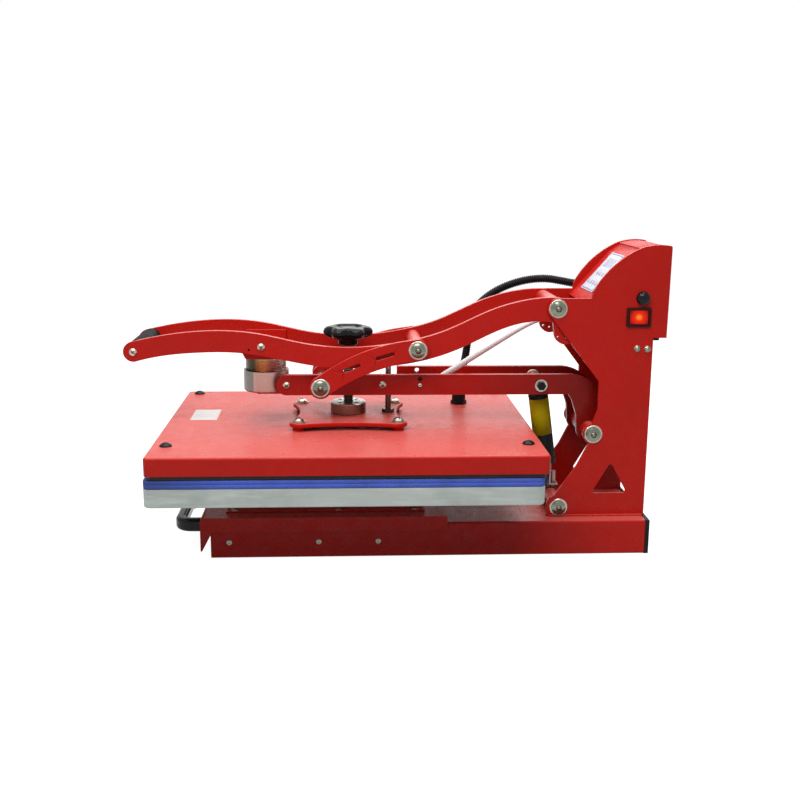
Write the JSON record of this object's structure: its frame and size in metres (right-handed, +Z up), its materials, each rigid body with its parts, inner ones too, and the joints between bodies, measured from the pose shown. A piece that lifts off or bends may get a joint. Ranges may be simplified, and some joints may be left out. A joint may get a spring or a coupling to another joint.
{
  "type": "combo heat press",
  "caption": "Slide-out clamshell heat press: four-bar lifting head with pressure screw, heated plate over a padded drawer platen, magnet hold-down, gas spring and control box.",
  "frame": {"origin": "on the floor under the axis of the pressure screw, at the centre of the pressing plate", "axes": "+X to the rear of the press, +Y across it, +Z up, press closed and drawer in"},
  "size_m": [0.7235, 0.4, 0.4205],
  "materials": {
    "red_paint": "textured powder coat",
    "platen_aluminium": "brushed casting",
    "heat_plate": "dark non-stick coating",
    "blue_silicone": "matt sponge",
    "zinc_steel": "zinc plated",
    "dark_steel": "blackened",
    "bronzed_steel": "yellow passivated",
    "chrome_rod": "polished",
    "black_gloss": "moulded gloss",
    "black_matt": "moulded",
    "black_rubber": "matt",
    "white_sleeve": "braided sleeve",
    "lit_red": "translucent",
    "panel_film": "printed film",
    "insulation": "glass fibre",
    "copper_coil": "potted coil",
    "controller_case": "moulded"
  },
  "bodies": {
    "base": {"base_tube_near": "red_paint", "base_tube_far": "red_paint", "tube_end_caps": "black_matt", "base_crossbars": "red_paint", "slide_rails_fixed": "zinc_steel", "column_plate_near": "red_paint", "column_plate_far": "red_paint", "column_back": "red_paint", "column_spacers": "red_paint", "frame_bolts": "zinc_steel", "control_hood": "red_paint", "control_panel": "panel_film", "controller": "controller_case", "switch_bezels": "black_gloss", "glands": "black_matt", "head_conduit": "black_rubber", "head_sleeve": "white_sleeve"},
    "drawer": {"slide_rails_moving": "zinc_steel", "drawer_tray": "red_paint", "drawer_grip": "black_gloss", "platen_risers": "red_paint", "riser_bolts": "zinc_steel", "lower_platen": "platen_aluminium", "silicone_pad": "blue_silicone"},
    "head": {"upper_cover": "red_paint", "heat_platen": "heat_plate", "insulation_board": "insulation", "spider_plate": "red_paint", "spider_bolts": "zinc_steel", "screw_hub": "dark_steel", "guide_rod": "chrome_rod", "cover_screws": "black_gloss", "cover_gland": "black_matt", "probe_bracket": "zinc_steel", "arm_near": "red_paint", "arm_far": "red_paint", "arm_blocks": "dark_steel", "magnet_block": "red_paint", "magnet_cup": "zinc_steel", "magnet_coil": "copper_coil", "arm_bolts": "zinc_steel", "link_pin": "zinc_steel", "strut_pin": "dark_steel", "arm_sleeves": "red_paint", "sleeve_clip": "black_matt"},
    "knob": {"hand_wheel": "black_gloss", "pressure_screw": "dark_steel"},
    "handle": {"handle_plate_near": "red_paint", "handle_plate_far": "red_paint", "handle_tubes": "red_paint", "front_grip": "black_rubber", "magnet_bracket": "red_paint", "magnet_keeper": "bronzed_steel", "handle_bolts": "zinc_steel"},
    "link": {"links": "red_paint", "link_bolts": "zinc_steel"},
    "strut_cylinder": {"gas_cylinder": "black_matt"},
    "strut_rod": {"gas_rod": "chrome_rod"},
    "power_rocker": {"switch_rocker": "lit_red"},
    "breaker_button": {"reset_button": "black_gloss"}
  },
  "joints": [
    {"name": "head_lift", "type": "hinge", "parent": "base", "child": "head", "pos_m": [0.333, 0, 0.1645], "axis": [0, 1, 0], "range_deg": [0, 40], "deforming": ["head_conduit", "head_sleeve"]},
    {"name": "handle_lift", "type": "hinge", "parent": "base", "child": "handle", "pos_m": [0.2785, 0, 0.336], "axis": [0, 1, 0], "range_deg": [0, 87.3]},
    {"name": "link_swing", "type": "hinge", "parent": "head", "child": "link", "pos_m": [-0.037, 0, 0.23], "axis": [0, 1, 0], "range_deg": [-47.3, 0]},
    {"name": "strut_swing", "type": "hinge", "parent": "head", "child": "strut_cylinder", "pos_m": [0.2645, 0, 0.2268], "axis": [0, 1, 0], "range_deg": [-22.5, 0]},
    {"name": "strut_stroke", "type": "slide", "parent": "strut_cylinder", "child": "strut_rod", "axis": [0.1461, 0, -0.9893], "range_m": [0, 0.0303]},
    {"name": "knob_turn", "type": "hinge", "parent": "head", "child": "knob", "pos_m": [0, 0, 0.29], "axis": [0, 0, 1], "continuous": true},
    {"name": "drawer_slide", "type": "slide", "parent": "base", "child": "drawer", "axis": [-1, 0, 0], "range_m": [0, 0.3]},
    {"name": "power_switch", "type": "hinge", "parent": "base", "child": "power_rocker", "pos_m": [0.387, -0.0625, 0.325], "axis": [0, 0, 1], "range_deg": [0, 11]},
    {"name": "breaker_reset", "type": "slide", "parent": "base", "child": "breaker_button", "axis": [0, 1, 0], "range_m": [0, 0.0025], "stiffness_N_per_m": 400}
  ],
  "couplings": [
    {"joint": "handle_lift", "follows": "head_lift", "ratio": 2.1812},
    {"joint": "link_swing", "follows": "head_lift", "ratio": -1.1793},
    {"joint": "strut_swing", "follows": "head_lift", "ratio": -0.5605},
    {"joint": "strut_stroke", "follows": "head_lift", "m_per_rad": 0.04325}
  ]
}
